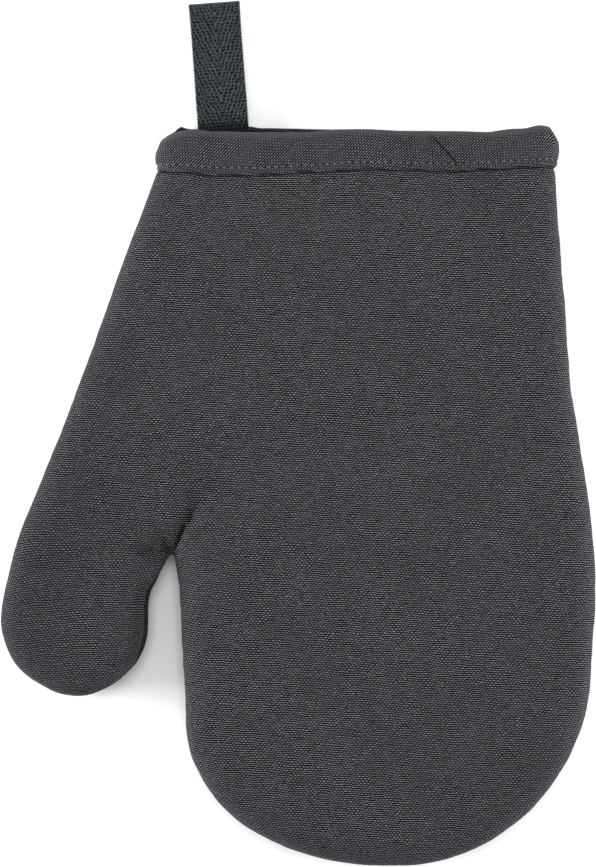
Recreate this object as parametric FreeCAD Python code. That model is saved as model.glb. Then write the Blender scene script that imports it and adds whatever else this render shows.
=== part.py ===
"""Oven mitt lying palm up: padded hand, fingers and thumb, a bound cuff and a tape hanging loop.

Millimetres, +Z up. The origin is under the middle of the mitt, on the surface it lies on.
+Y runs from the fingertips to the cuff and loop, +X away from the thumb.
Both padded sides are nested shells of one pillow shape: outer panel, wadding, lining.
Cloth bends anywhere and a solid doesn't, so the layers are cut at the two places where a
hand bends the mitt: along the thumb, and across the fingers.
"""
import FreeCAD, Part
import math
import os
from FreeCAD import Vector

# ---------------------------------------------------------------- driving dimensions
HALF_THICKNESS = 10.5       # outer panel's face to the seam plane
EDGE_RADIUS = 10.0          # roundness of the mitt's side, seen in section
PANEL = 0.8                 # outer cloth
WADDING = 4.0               # heat-resisting filling
LINING = 0.5                # inner cloth
QUILT = PANEL + WADDING + LINING

BINDING = 1.0               # bias strip at the cuff, one thickness
BINDING_DEPTH = 13.5        # how far it reaches down from the rim
MOUTH_Y = 114.0             # raw edge of the padded cloth, under the binding
RIM_Y = MOUTH_Y + BINDING
SEAM_Z = BINDING + HALF_THICKNESS

THREAD_RADIUS = 0.35
STITCH_PITCH = 2.78
STITCH_LENGTH = 1.9
STITCH_ABOVE_EDGE = 2.3     # top-stitching, measured from the binding's lower edge
STITCH_PROUD = 0.2

TAPE_WIDTH = 19.0
TAPE = 1.2                  # herringbone tape, one thickness
TAPE_SEWN = 11.0            # length of the tape's ends inside the mouth
LOOP_X = -28.6              # middle of the tape where it leaves the mouth
LOOP_LEAN = 4.3             # degrees, to the thumb's side
LOOP_HINGE_Y = RIM_Y + 1.6
LOOP_REACH = 49.2           # from the hinge to the fold
LOOP_EYE_HEIGHT = 8.0       # outside height of the loop's eye
TACK_ROWS = (3.0, 8.0)      # the two rows of stitches, from the tape's ends
TACK_COUNT = 6              # stitches in a row

FINGER_HINGE_Y = -78.5      # the fingers bend about a line across the mitt
THUMB_HINGE_FOOT = Vector(-54.5, -47.0, 0)   # beside the crotch
THUMB_HINGE_TILT = 2.8      # degrees from Y, towards the thumb's side at the cuff
CUT_GAP = 0.4               # between two sections of one layer
LOOP_GAP = 0.3              # between the swinging loop and its sewn ends
BEDDING = 0.2               # how far the sewn tape stands off the binding, before the stitches press it
FAR = 300.0                 # beyond every side of the mitt, for the blocks that cut it
TINY = 1e-6                 # lengths below this count as nothing

# Corners of the mitt's outline and the radius that rounds each, clockwise from the cuff.
CLOSED_END_Y = 150.0        # the outline runs past the cuff and is cut at the mouth
OUTLINE = [
    (97.5, CLOSED_END_Y, 0),
    (98.0, 96.0, 580),
    (104.1, 16.5, 120),
    (114.3, -47.5, 200),      # little finger's side
    (110.0, -116.5, 76),
    (71.5, -166.2, 73),       # fingertips
    (7.5, -163.5, 100),
    (-42.0, -140.0, 53),
    (-43.5, -95.0, 60),       # index finger's side
    (-45.4, -58.0, 19),
    (-47.7, -44.5, 0.8),      # crotch
    (-56.8, -61.5, 16),
    (-57.0, -90.5, 27),
    (-85.8, -102.3, 21),      # thumb's tip
    (-116.3, -85.5, 28),
    (-109.4, -45.5, 150),
    (-89.5, 2.0, 1200),       # outer side of the thumb, up to the cuff
    (-53.6, 101.6, 8),
    (-53.4, CLOSED_END_Y, 0),
]


# ---------------------------------------------------------------- outlines
def grown_corners(corners, grow):
    """Moves every side of a clockwise outline outwards by grow and returns its corners."""
    count = len(corners)
    points = [Vector(x, y, 0) for x, y, _ in corners]
    grown = []
    for i in range(count):
        before = (points[i] - points[i - 1]).normalize()
        after = (points[(i + 1) % count] - points[i]).normalize()
        turn = before.cross(after).z
        out_before = Vector(-before.y, before.x, 0)
        out_after = Vector(-after.y, after.x, 0)
        shift = (out_before + out_after) / (1 + out_before.dot(out_after)) * grow
        radius = corners[i][2]
        if radius:
            radius += grow if turn < 0 else -grow
        corner = points[i] + shift
        grown.append((corner.x, corner.y, radius))
    return grown


def rounded_wire(corners):
    """A closed wire of straight sides joined by tangent arcs."""
    count = len(corners)
    points = [Vector(x, y, 0) for x, y, _ in corners]
    starts, ends, arcs = [], [], []
    for i in range(count):
        back = (points[i - 1] - points[i]).normalize()
        ahead = (points[(i + 1) % count] - points[i]).normalize()
        radius = corners[i][2]
        half = back.getAngle(ahead) / 2
        reach = radius / math.tan(half)
        bisector = (back + ahead).normalize()
        middle = points[i] + bisector * (radius / math.sin(half) - radius)
        starts.append(points[i] + back * reach)
        ends.append(points[i] + ahead * reach)
        arcs.append(middle if radius else None)
    edges = []
    for i in range(count):
        if arcs[i]:
            edges.append(Part.Arc(starts[i], arcs[i], ends[i]).toShape())
        edges.append(Part.LineSegment(ends[i], starts[(i + 1) % count]).toShape())
    return Part.Wire(edges)


# ---------------------------------------------------------------- the pillow and its layers
def pillow(grow, outline=OUTLINE):
    """The mitt's body as one round-sided solid, grown by grow on every side."""
    base = Part.Face(rounded_wire(grown_corners(outline, grow)))
    base.translate(Vector(0, 0, SEAM_Z - HALF_THICKNESS - grow))
    block = base.extrude(Vector(0, 0, 2 * (HALF_THICKNESS + grow)))
    rims = []
    for edge in block.Edges:
        box = edge.BoundBox
        level = box.ZLength < TINY
        closed_end = box.YLength < TINY       # beyond the mouth, cut away later
        if level and not closed_end:
            rims.append(edge)
    return block.makeFillet(EDGE_RADIUS + grow, rims)


def slab(y_low, y_high):
    """Everything between two planes across the mitt."""
    return Part.makeBox(2 * FAR, y_high - y_low, 2 * FAR, Vector(-FAR, y_low, -FAR))


def thumb_line(y, offset):
    """X of the thumb's hinge line at a height y, moved by offset."""
    lean = math.tan(math.radians(THUMB_HINGE_TILT))
    return THUMB_HINGE_FOOT.x - (y - THUMB_HINGE_FOOT.y) * lean + offset


def prism(corners):
    """An upright block on a polygon, taller than the mitt."""
    points = [Vector(x, y, -FAR) for x, y in corners]
    return Part.Face(Part.makePolygon(points + points[:1])).extrude(Vector(0, 0, 2 * FAR))


def sections():
    """The three blocks that cut each layer into its hand, thumb and fingers."""
    left = -CUT_GAP / 2
    right = CUT_GAP / 2
    thumb = prism([(-FAR, -FAR), (thumb_line(-FAR, left), -FAR), (thumb_line(FAR, left), FAR),
                   (-FAR, FAR)])
    y = FINGER_HINGE_Y
    fingers = prism([(thumb_line(-FAR, right), -FAR), (FAR, -FAR), (FAR, y - right),
                     (thumb_line(y - right, right), y - right)])
    hand = prism([(thumb_line(y + right, right), y + right), (FAR, y + right), (FAR, MOUTH_Y),
                  (thumb_line(MOUTH_Y, right), MOUTH_Y)])
    return {"hand": hand, "thumb": thumb, "fingers": fingers}


def half(front):
    """All the space on one side of the seam plane."""
    low = SEAM_Z if front else SEAM_Z - FAR
    return Part.makeBox(2 * FAR, 2 * FAR, FAR, Vector(-FAR, -FAR, low))


def padded_layers():
    """Outer panel, wadding and lining, front and back, each in its three sections."""
    depths = [0, PANEL, PANEL + WADDING, QUILT]
    shapes = [pillow(-depth) for depth in depths]
    blocks = sections()
    nodes = {}
    for i, layer in enumerate(("panel", "wadding", "lining")):
        shell = shapes[i].cut(shapes[i + 1])
        for side in ("front", "back"):
            half_shell = shell.common(half(side == "front"))
            for section, block in blocks.items():
                nodes[f"{side}_{layer}_{section}"] = half_shell.common(block)
    return nodes


# ---------------------------------------------------------------- cuff
def cuff_binding():
    """A strip folded over the rim: outside wall, rim and inside wall, all round the mouth."""
    right, left = OUTLINE[2], OUTLINE[-3]
    wrist = OUTLINE[:2] + [(right[0], right[1], 0), (left[0], left[1], 0)] + OUTLINE[-2:]
    outer = pillow(BINDING, wrist)
    panel_face = pillow(0, wrist)
    lining_face = pillow(-QUILT, wrist)
    inner = pillow(-QUILT - BINDING, wrist)
    band = slab(MOUTH_Y - BINDING_DEPTH, MOUTH_Y)
    rim = slab(MOUTH_Y, RIM_Y)
    outside = outer.cut(panel_face).common(band)
    inside = lining_face.cut(inner).common(band)
    edge = outer.cut(inner).common(rim)
    return outside.fuse([inside, edge]).removeSplitter()


def stitch(x, y, z):
    """One stitch lying across the mitt: a short round bar with rounded ends."""
    straight = STITCH_LENGTH - 2 * THREAD_RADIUS
    start = Vector(x - straight / 2, y, z)
    bar = Part.makeCylinder(THREAD_RADIUS, straight, start, Vector(1, 0, 0))
    ends = [Part.makeSphere(THREAD_RADIUS, start + Vector(dx, 0, 0)) for dx in (0, straight)]
    return bar.fuse(ends)


def cuff_stitching():
    """The line of top-stitching round the binding, front and back."""
    y = MOUTH_Y - BINDING_DEPTH + STITCH_ABOVE_EDGE
    first = OUTLINE[-1][0] + EDGE_RADIUS
    last = OUTLINE[0][0] - EDGE_RADIUS
    count = int((last - first) / STITCH_PITCH)
    top = 2 * (HALF_THICKNESS + BINDING) + STITCH_PROUD - THREAD_RADIUS
    stitches = []
    for i in range(count + 1):
        x = first + i * STITCH_PITCH
        stitches.append(stitch(x, y, top))
        stitches.append(stitch(x, y, THREAD_RADIUS))
    return Part.makeCompound(stitches)


# ---------------------------------------------------------------- hanging loop
TAPE_Z = BINDING + QUILT + BINDING + BEDDING      # underside of the sewn tape
LOOP_HINGE_Z = TAPE_Z + TAPE


def lean_with_loop(shape):
    """Turns a shape made straight along Y into the loop's lean about its hinge."""
    shape.rotate(Vector(LOOP_X, LOOP_HINGE_Y, 0), Vector(0, 0, 1), LOOP_LEAN)
    return shape


def tape_profile(corners):
    """A side view of the tape, given the tape's width: distance past the hinge, height, radius."""
    wire = rounded_wire(corners)
    flat = Part.Face(wire)
    flat.rotate(Vector(0, 0, 0), Vector(1, 0, 0), 90)
    flat.rotate(Vector(0, 0, 0), Vector(0, 0, 1), 90)
    solid = flat.extrude(Vector(TAPE_WIDTH, 0, 0))
    solid.translate(Vector(LOOP_X - TAPE_WIDTH / 2, LOOP_HINGE_Y, 0))
    return solid


def hanging_loop():
    """The folded tape outside the mouth: its legs part into an eye and lie on the table."""
    top = LOOP_HINGE_Z + TAPE
    under = LOOP_HINGE_Z - TAPE
    eye = LOOP_EYE_HEIGHT
    end = LOOP_REACH
    bend = 0.9 * eye / 2
    outside = [
        (-TAPE, top, TAPE * 0.95),
        (24.0, top - 0.6, 60),
        (end, eye, bend),
        (end, 0, bend),
        (23.0, 0, 22),
        (7.0, under, 10),
        (-TAPE, under, TAPE * 0.95),
    ]
    opening = [
        (9.0, LOOP_HINGE_Z - 0.2, 0.4),
        (24.0, top - 0.6 - TAPE, 58),
        (end - TAPE, eye - TAPE, bend - TAPE),
        (end - TAPE, TAPE, bend - TAPE),
        (23.4, TAPE, 20),
    ]
    return lean_with_loop(tape_profile(outside).cut(tape_profile(opening)))


def loop_sewn_ends():
    """The two ends of the tape, flat on the back's binding inside the mouth."""
    gap = TAPE + LOOP_GAP
    corner = Vector(LOOP_X - TAPE_WIDTH / 2, LOOP_HINGE_Y - gap - TAPE_SEWN, TAPE_Z - BEDDING)
    return lean_with_loop(Part.makeBox(TAPE_WIDTH, TAPE_SEWN, 2 * TAPE + BEDDING, corner))


def loop_tack():
    """Two rows of stitches that hold the tape's ends."""
    stitches = []
    top = TAPE_Z + 2 * TAPE + STITCH_PROUD - THREAD_RADIUS
    for row in TACK_ROWS:
        y = LOOP_HINGE_Y - TAPE - TAPE_SEWN + row
        for i in range(TACK_COUNT):
            x = LOOP_X + (i - (TACK_COUNT - 1) / 2) * STITCH_PITCH
            stitches.append(stitch(x, y, top))
    return lean_with_loop(Part.makeCompound(stitches))


# ---------------------------------------------------------------- perimeter seam
def seam_thread():
    """The thread that joins front to back, in the seam all round the hand and thumb."""
    path = rounded_wire(grown_corners(OUTLINE, -PANEL / 2))
    path.translate(Vector(0, 0, SEAM_Z))
    start = path.Edges[0].Vertexes[0].Point
    along = path.Edges[0].tangentAt(path.Edges[0].FirstParameter)
    ring = Part.Wire([Part.makeCircle(THREAD_RADIUS, start, along)])
    open_path = Part.Wire(path.Edges[:-1])
    tube = open_path.makePipeShell([ring], True, True)
    nodes = {}
    for section, block in sections().items():
        nodes[f"seam_thread_{section}"] = tube.common(block)
    return nodes


# ---------------------------------------------------------------- assembly
def build():
    """Every sub-part by name."""
    nodes = padded_layers()
    nodes.update(seam_thread())
    nodes["cuff_binding"] = cuff_binding()
    nodes["cuff_stitching"] = cuff_stitching()
    nodes["hanging_loop"] = hanging_loop()
    nodes["loop_sewn_ends"] = loop_sewn_ends()
    nodes["loop_tack"] = loop_tack()
    return nodes


os.makedirs("parts", exist_ok=True)
whole = FreeCAD.BoundBox()
for name, shape in build().items():
    shape.exportStep(f"parts/{name}.step")
    whole.add(shape.optimalBoundingBox())
    print(f"{name:24s} solids {len(shape.Solids):3d}  volume {shape.Volume:9.1f}  valid {shape.isValid()}")
print("box", [round(v, 3) for v in (whole.XMin, whole.XMax, whole.YMin, whole.YMax, whole.ZMin, whole.ZMax)])
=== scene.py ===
"""Looks of the oven mitt: outer panels, wadding, lining, a bound cuff, top-stitching and a tape loop.

Lengths are in millimetres until a mesh is made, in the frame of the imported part:
+X away from the thumb, +Y from the fingertips to the cuff, +Z up from the table.
Every layer is worked out from one outline and one rounded profile, and then draped by one
function, so that the layers stay nested. Texture coordinates are flat cloth, in millimetres.
"""
import math
from functools import partialmethod

import bpy
import numpy as np
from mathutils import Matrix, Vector, noise
from mathutils.geometry import delaunay_2d_cdt


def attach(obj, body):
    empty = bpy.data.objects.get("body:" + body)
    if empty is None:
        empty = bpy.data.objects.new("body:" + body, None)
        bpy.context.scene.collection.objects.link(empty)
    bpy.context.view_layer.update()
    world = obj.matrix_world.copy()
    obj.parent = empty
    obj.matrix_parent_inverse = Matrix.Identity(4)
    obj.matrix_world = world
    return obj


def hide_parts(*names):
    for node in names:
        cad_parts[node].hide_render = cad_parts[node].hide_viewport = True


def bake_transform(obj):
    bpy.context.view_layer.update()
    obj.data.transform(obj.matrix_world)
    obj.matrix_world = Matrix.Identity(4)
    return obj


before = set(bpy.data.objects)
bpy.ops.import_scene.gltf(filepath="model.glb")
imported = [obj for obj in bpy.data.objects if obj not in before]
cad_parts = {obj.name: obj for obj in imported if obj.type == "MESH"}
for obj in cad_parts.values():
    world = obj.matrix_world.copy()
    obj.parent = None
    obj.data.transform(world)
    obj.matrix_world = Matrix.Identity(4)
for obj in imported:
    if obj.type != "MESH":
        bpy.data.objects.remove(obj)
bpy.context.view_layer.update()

# ------------------------------------------------------------------ sizes, as in the CAD part
MM = 0.001
SEAM_Z = 11.5
PANEL = 0.8
WADDING = 4.0
LINING = 0.5
THICK = PANEL + WADDING + LINING  # one side's three layers
MOUTH_Y = 114.0
RIM_Y = 115.0
BAND_Y = 101.3  # the binding's lower edge, outside
TAPE_WIDTH = 19.0
LOOP_X = -28.6
LOOP_LEAN = math.radians(4.3)
THUMB_FOOT = np.array([-54.5, -47.0])
THUMB_TILT = math.radians(2.8)

# Corners of the outline and the radius that rounds each, from the cuff's right end clockwise.
OUTLINE = [
    (97.8, MOUTH_Y, 0), (98.0, 96.0, 580), (104.1, 16.5, 120), (114.3, -47.5, 200),
    (110.0, -116.5, 76), (71.5, -166.2, 73), (7.5, -163.5, 100), (-42.0, -140.0, 53),
    (-43.5, -95.0, 60), (-45.4, -58.0, 19), (-47.7, -44.5, 0.8), (-56.8, -61.5, 16),
    (-57.0, -90.5, 27), (-85.8, -102.3, 21), (-116.3, -85.5, 28), (-109.4, -45.5, 150),
    (-89.5, 2.0, 1200), (-53.6, 101.6, 8), (-53.4, MOUTH_Y, 0),
]

# The pillow that the layers share. Its sides are rounder than the CAD's, inside the same box.
HALF = 10.4  # half thickness over most of the hand
EDGE = 14.0  # how far in from the outline the sides are round
EDGE_POWER = 2.25  # 2 is an ellipse, more is squarer
SPLIT_Y = -62.0  # the finger pieces start here, clear of both bends
SPLIT_X = -50.0  # and end here, beside the thumb
THUMB_THINNER = 0.9  # how much of HALF the front loses at the thumb, the cuff and the binding
CUFF_THINNER = 2.0
BAND_THINNER = 0.7
BACK_FULLER = 0.5  # how much the back adds to HALF, and what it loses under the binding
BACK_THINNER = 0.55
SEAM_ROLL = 0.31
GROOVE_DEPTH = 0.9  # the seam's groove in the sides
GROOVE_WIDTH = 1.3
HIDDEN_INSET = 0.5  # wadding and lining keep this much further in than the outer cloth's groove
PRESSED = 0.34  # the share of its thickness that a side loses under the binding
DOME = 0.05  # how much fuller the middle of the front is than its edge


def smooth(t):
    """Eases from 0 to 1."""
    t = np.clip(t, 0, 1)
    return t * t * (3 - 2 * t)


def wander(points, size, seed):
    """Smooth noise from -1 to 1 at each point, with lumps of the given size in mm."""
    scaled = np.asarray(points, float) / size + seed
    return np.array([noise.noise(Vector(p)) for p in scaled])


def ripple(points, waves):
    """Several smooth noises added up, each given as its height and size in mm and its seed."""
    return sum(height * wander(points, size, seed) for height, size, seed in waves)


def distances(line):
    """Distance along a line of points to each of them."""
    return np.r_[0, np.cumsum(np.linalg.norm(np.diff(line, axis=0), axis=1))]


def lengths(loop):
    """Distance along a closed loop of points to each of them, and last the way back to the first."""
    return distances(np.r_[loop, loop[:1]])


def unit(v):
    """v at length 1."""
    return v / np.linalg.norm(v)


def on_fingers(points):
    """Which points belong to the finger pieces."""
    return (points[:, 1] < SPLIT_Y) & (points[:, 0] > SPLIT_X)


def through(table, x):
    """A smooth curve through (x, value) pairs, level beyond its ends."""
    xs = np.array([p[0] for p in table], float)
    ys = np.array([p[1] for p in table], float)
    i = np.clip(np.searchsorted(xs, x) - 1, 0, len(xs) - 2)
    return ys[i] + (ys[i + 1] - ys[i]) * smooth((x - xs[i]) / (xs[i + 1] - xs[i]))


# ------------------------------------------------------------------ outline and profile
def outline_path(step, turn_step):
    """Points and outward normals along the outline, closer together where it turns."""
    corners = [np.array(c[:2], float) for c in OUTLINE]
    points, normals = [], []

    def straight(a, b):
        along = unit(b - a)
        count = max(1, round(np.linalg.norm(b - a) / step))
        for t in np.arange(count) / count:
            points.append(a + (b - a) * t)
            normals.append(np.array([-along[1], along[0]]))

    last = corners[0]
    for i in range(1, len(corners) - 1):
        back = unit(corners[i - 1] - corners[i])
        ahead = unit(corners[i + 1] - corners[i])
        radius = OUTLINE[i][2]
        half = math.acos(back @ ahead) / 2
        reach = radius / math.tan(half)
        centre = corners[i] + unit(back + ahead) * radius / math.sin(half)
        start = corners[i] + back * reach
        straight(last, start)
        turn = math.pi - 2 * half
        side = 1 if back[0] * ahead[1] - back[1] * ahead[0] > 0 else -1
        count = max(2, math.ceil(turn * radius / step), math.ceil(turn / turn_step))
        first = start - centre
        for t in np.arange(count) / count:
            angle = -side * turn * t
            c, s = math.cos(angle), math.sin(angle)
            arm = np.array([first[0] * c - first[1] * s, first[0] * s + first[1] * c])
            points.append(centre + arm)
            normals.append(side * arm / radius)
        last = corners[i] + ahead * reach
    straight(last, corners[-1])
    points.append(corners[-1])
    normals.append(np.array([-1.0, 0.0]))
    normals[0] = np.array([1.0, 0.0])
    return np.array(points), np.array(normals)


class Profile:
    """The round side in section: distance in from the outline, and height as a share."""

    def __init__(self, rings):
        angle = np.linspace(0, math.pi / 2, rings + 1)
        power = 2 / EDGE_POWER
        self.inset = EDGE * (1 - np.cos(angle) ** power)
        self.inset[-1] = EDGE
        self.height = np.sin(angle) ** power
        fine = np.linspace(0, math.pi / 2, 400)
        d = EDGE * (1 - np.cos(fine) ** power)
        h = HALF * np.sin(fine) ** power
        arc = np.r_[0, np.cumsum(np.hypot(np.diff(d), np.diff(h)))]
        self.arc = np.interp(self.inset, d, arc)
        slope_d = np.gradient(d, fine)
        slope_h = np.gradient(h, fine)
        length = np.hypot(slope_d, slope_h)
        self.normal_in = np.interp(self.inset, d, -slope_h / length)
        self.normal_up = np.interp(self.inset, d, slope_d / length)
        self.normal_in[0], self.normal_up[0] = -1.0, 0.0
        self.normal_in[-1], self.normal_up[-1] = 0.0, 1.0


def half_thickness(x, y, front):
    """Half the mitt's thickness at a place: thinner at the thumb, pinched under the binding."""
    band = smooth((y - (BAND_Y - 5)) / 6)
    if not front:
        return HALF + BACK_FULLER - BACK_THINNER * band
    thumb = smooth((-48 - x - (y - THUMB_FOOT[1]) * math.tan(THUMB_TILT)) / 30)
    cuff = smooth((y - 40) / 58)
    return HALF - THUMB_THINNER * thumb - CUFF_THINNER * cuff - BAND_THINNER * band


def seam_roll(x, y):
    """How far the seam is rolled up onto the front, in radians: only on the thumb's inner side."""
    across = smooth((-47 - x) / 4) * smooth((x + 72) / 8)
    along = smooth((-51 - y) / 9) * smooth((y + 92) / 9)
    return SEAM_ROLL * across * along


def rolled(inset, z, share, roll):
    """Turns the round side's section about its centre, all of it at the seam and none at the top."""
    angle = roll * (1 - smooth(share))
    out = EDGE - inset
    return EDGE - (out * np.cos(angle) - z * np.sin(angle)), z * np.cos(angle) + out * np.sin(angle)


def groove(arc):
    """How far the seam pulls the cloth in, by distance from the seam over the round side."""
    return GROOVE_DEPTH * np.exp(-(arc / GROOVE_WIDTH) ** 2)


def pressed(depth, y):
    """Depth inside the padded cloth, which the binding presses thinner."""
    return depth * (1 - PRESSED * smooth((y - (BAND_Y - 9)) / 9))


def dome(inset, front):
    """How much fuller than the edge the middle is, as a share."""
    return (DOME if front else 0.0) * (1 - np.exp(-(np.maximum(inset - EDGE, 0) / 26) ** 2))


# ------------------------------------------------------------------ drape
# How far the binding's folded edge (rim) and lower edge (hem) lie past their nominal Y, by X.
FRONT_RIM = [
    (-53.6, -6.0), (-52.4, -3.6), (-48, -2.0), (-40.7, -0.2), (-32, -1.1), (-16, -1.6), (2, -1.4),
    (16, -0.1), (26, 0.0), (40, -0.6), (60, -0.8), (74, -1.2), (83, -0.3), (92, 1.7), (95, 1.8),
    (98.2, -0.8),
]
BACK_RIM = [
    (-53.6, -6.0), (-51, -1.6), (-48.2, 0.4), (-45, 3.1), (-42, 2.0), (-30, 2.4), (-19, 3.2), (-14, 2.5),
    (18, 1.9), (40, 0.9), (56, 1.2), (68, 0.5), (85, 2.3), (93, 2.6), (96, 1.9), (98.2, -0.3),
]
FRONT_HEM = [
    (-53.6, -1.2), (-47, -2.0), (-31, -3.4), (-16, -3.5), (6, -2.2), (28, -1.1), (44, -1.4), (58, -1.9),
    (73, -1.1), (88, -0.2), (98.2, 0.1),
]
BACK_HEM = [(-53.6, -1.2), (-40, -2.4), (20, -1.6), (60, -2.1), (98.2, 0.1)]
MIDDLE_X = 22.0  # halfway across the cuff
HALF_CUFF = 76.0
CUFF_RIGHT = 98.2
CUFF_LEFT = -53.6
MOUTH_CORNERS = [(CUFF_RIGHT, -1, 4.6), (CUFF_LEFT, 1, 3.0)]  # X, which way is inwards, radius
CORNER_REACH = 16.0  # how far along the rim a corner's rounding fades out
HEM_NIP = 0.7  # how far the seam nips the sides in at the hem
BAND_SWELL = 0.6  # how far the right end of the band swells out above it
# Unevenness of the cloth: height and size in mm, and seed.
LUMPS = [(0.75, 46, 3.1), (0.35, 19, 8.7)]
SWAY_X = [(0.35, 15, 5.2), (0.22, 6, 1.9)]
SWAY_Y = [(0.3, 13, 7.7)]
PUCKERS = [(0.32, 4.2, 12.6), (0.16, 2.4, 3.8)]  # the small gathers along the seam
BAND_PUFF = [(0.26, 9, 4.4)]


FAR = 1e9
SLIT_WIDTH = 0.42
GUIDE_STEP = 0.7  # the mesh's points beside a crease: how far apart, and how far to each side
GUIDE_OFFSETS = (-1.0, -0.5, -0.2, 0.0, 0.2, 0.5, 1.0)


class Crease:
    """A fold line in the front: a valley, wider on the thumb's side, with a slit at its bottom."""

    def __init__(self, route, valley, slit, sides, peak, dark):
        self.route = np.array(route)
        self.reached = distances(self.route)
        self.valley = valley
        self.slit = slit
        self.thumb_side, self.hand_side = sides
        self.peak = peak
        self.dark = dark

    def place(self, points):
        """Signed distance to the line, positive on the hand's side, and the share of its length."""
        reached = self.reached / self.reached[-1]
        near = np.full(len(points), FAR)
        share = np.zeros(len(points))
        for i in range(len(self.route) - 1):
            start, step = self.route[i], self.route[i + 1] - self.route[i]
            t = np.clip((points - start) @ step / (step @ step), 0, 1)
            gap = points - start - t[:, None] * step
            far = np.linalg.norm(gap, axis=1)
            side = np.where(gap[:, 0] * step[1] - gap[:, 1] * step[0] > 0, 1, -1)
            closer = far < np.abs(near)
            near = np.where(closer, far * side, near)
            share = np.where(closer, reached[i] + (reached[i + 1] - reached[i]) * t, share)
        return near, share

    def strength(self, share):
        """How open the fold is along its length, from 0 to 1."""
        opening = smooth((share + 0.05) / (self.peak + 0.05))
        return opening * (1 - smooth((share - self.peak) / (1 - self.peak)))

    def section(self, near, spread):
        """The fold's section: 1 on the line, fading over each side's width times spread."""
        width = np.where(near > 0, self.hand_side, self.thumb_side) * spread
        return np.exp(-(np.abs(near) / width) ** 1.5)

    def sink(self, points):
        """How far the cloth sinks at each point."""
        near, share = self.place(points)
        valley = self.valley * self.section(near, 1 + 1.8 * share)
        slit = self.slit * np.exp(-(near / SLIT_WIDTH) ** 2)
        slit *= 1 - smooth((share - self.peak * 0.6) / 0.25)
        return self.strength(share) * (valley + slit)

    def shade(self, points):
        """How much shade is painted at the bottom of the fold at each point, from 0 to 1."""
        near, share = self.place(points)
        dark = self.strength(share) * (1 - 0.7 * smooth((share - self.peak) / 0.4))
        return self.dark * dark * self.section(near, 0.18 + 2.2 * share)

    def guide_points(self):
        """Points beside the line, close enough together to carry the slit."""
        at = np.arange(0, self.reached[-1], GUIDE_STEP)
        line = np.c_[[np.interp(at, self.reached, self.route[:, axis]) for axis in (0, 1)]].T
        along = np.gradient(line, axis=0)
        across = np.c_[along[:, 1], -along[:, 0]] / np.linalg.norm(along, axis=1, keepdims=True)
        return np.concatenate([line + across * offset for offset in GUIDE_OFFSETS])


# dark is the strength of the shade painted into the bottom of each fold.
CREASES = [
    Crease([(-47.6, -46.4), (-45.9, -41.9), (-43.5, -37.0), (-41.0, -32.3), (-38.6, -27.2), (-35.0, -21.6),
            (-27.0, -14.0), (-17.0, -6.5)],
           valley=1.8, slit=2.3, sides=(3.2, 1.1), peak=0.2, dark=0.72),
    Crease([(-49.0, -46.0), (-50.6, -42.0), (-51.6, -37.0), (-52.4, -27.0)],
           valley=1.0, slit=0.4, sides=(2.6, 2.6), peak=0.25, dark=0.75),
    Crease([(-50.5, -45.5), (-56.0, -43.2), (-63.0, -42.6), (-72.0, -43.6)],
           valley=0.9, slit=0.2, sides=(3.2, 3.2), peak=0.35, dark=0.5),
]


def drape(points):
    """Moves points from the plain pillow to the way the cloth lies. Every fabric piece uses it but the
    hanging loop's tape and its tack.
    """
    p = np.array(points, float)
    for corner_x, way, radius in MOUTH_CORNERS:
        over = np.clip(p[:, 1] - (RIM_Y - 0.8 * radius), 0, radius)
        near = smooth(1 - np.abs(p[:, 0] - corner_x) / CORNER_REACH)
        p[:, 0] += way * (radius - np.sqrt(radius ** 2 - over ** 2)) * near
    x, y, z = p.T
    rise = (z - SEAM_Z) / HALF
    front = smooth((rise + 1) / 2)
    up = np.clip(rise, 0, 1)
    near_cuff = smooth((y - 62) / 40)
    to_rim = smooth((y - BAND_Y) / (RIM_Y - BAND_Y))
    rim = through(FRONT_RIM, x) * front + through(BACK_RIM, x) * (1 - front)
    hem = through(FRONT_HEM, x) * front + through(BACK_HEM, x) * (1 - front)
    flat = np.c_[x, y, np.zeros(len(p))]
    p[:, 1] += (rim * to_rim + hem * (1 - to_rim)) * near_cuff
    end = np.clip((x - MIDDLE_X) / HALF_CUFF, -1, 1)
    p[:, 0] -= HEM_NIP * end ** 5 * np.exp(-((y - BAND_Y + 0.4) / 1.5) ** 2)
    p[:, 0] += BAND_SWELL * np.maximum(end, 0) ** 6 * np.exp(-((y - BAND_Y - 7.0) / 3.4) ** 2)
    sink = sum(crease.sink(p[:, :2]) for crease in CREASES)
    p[:, 2] += up * ripple(flat, LUMPS) - smooth(rise * 1.6) * sink
    side = 1 - np.clip(np.abs(rise), 0, 1) ** 2
    p[:, 2] += ripple(np.c_[p[:, :2], np.zeros(len(p))], PUCKERS) * side * (1 - near_cuff)
    p[:, 0] += ripple(flat, SWAY_X) * (1 - near_cuff)
    p[:, 1] += ripple(flat, SWAY_Y) * (1 - near_cuff)
    return p


# ------------------------------------------------------------------ meshes
def new_object(name, points, faces, uv, painted_shade=None):
    """A mesh object in metres from points in mm; uv is flat cloth in mm, one pair a point.

    The last argument, from 0 to 1, is painted shade: the material darkens the colour by it."""
    mesh = bpy.data.meshes.new(name)
    mesh.from_pydata((np.asarray(points) * MM).tolist(), [], faces)
    layer = mesh.uv_layers.new(name="cloth")
    loops = np.zeros(len(mesh.loops), np.int32)
    mesh.loops.foreach_get("vertex_index", loops)
    layer.data.foreach_set("uv", np.asarray(uv, np.float32)[loops].ravel())
    if painted_shade is not None:
        mesh.attributes.new("painted_shade", "FLOAT", "POINT").data.foreach_set("value", painted_shade)
    mesh.polygons.foreach_set("use_smooth", [True] * len(mesh.polygons))
    mesh.update()
    obj = bpy.data.objects.new(name, mesh)
    bpy.context.scene.collection.objects.link(obj)
    return obj


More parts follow.
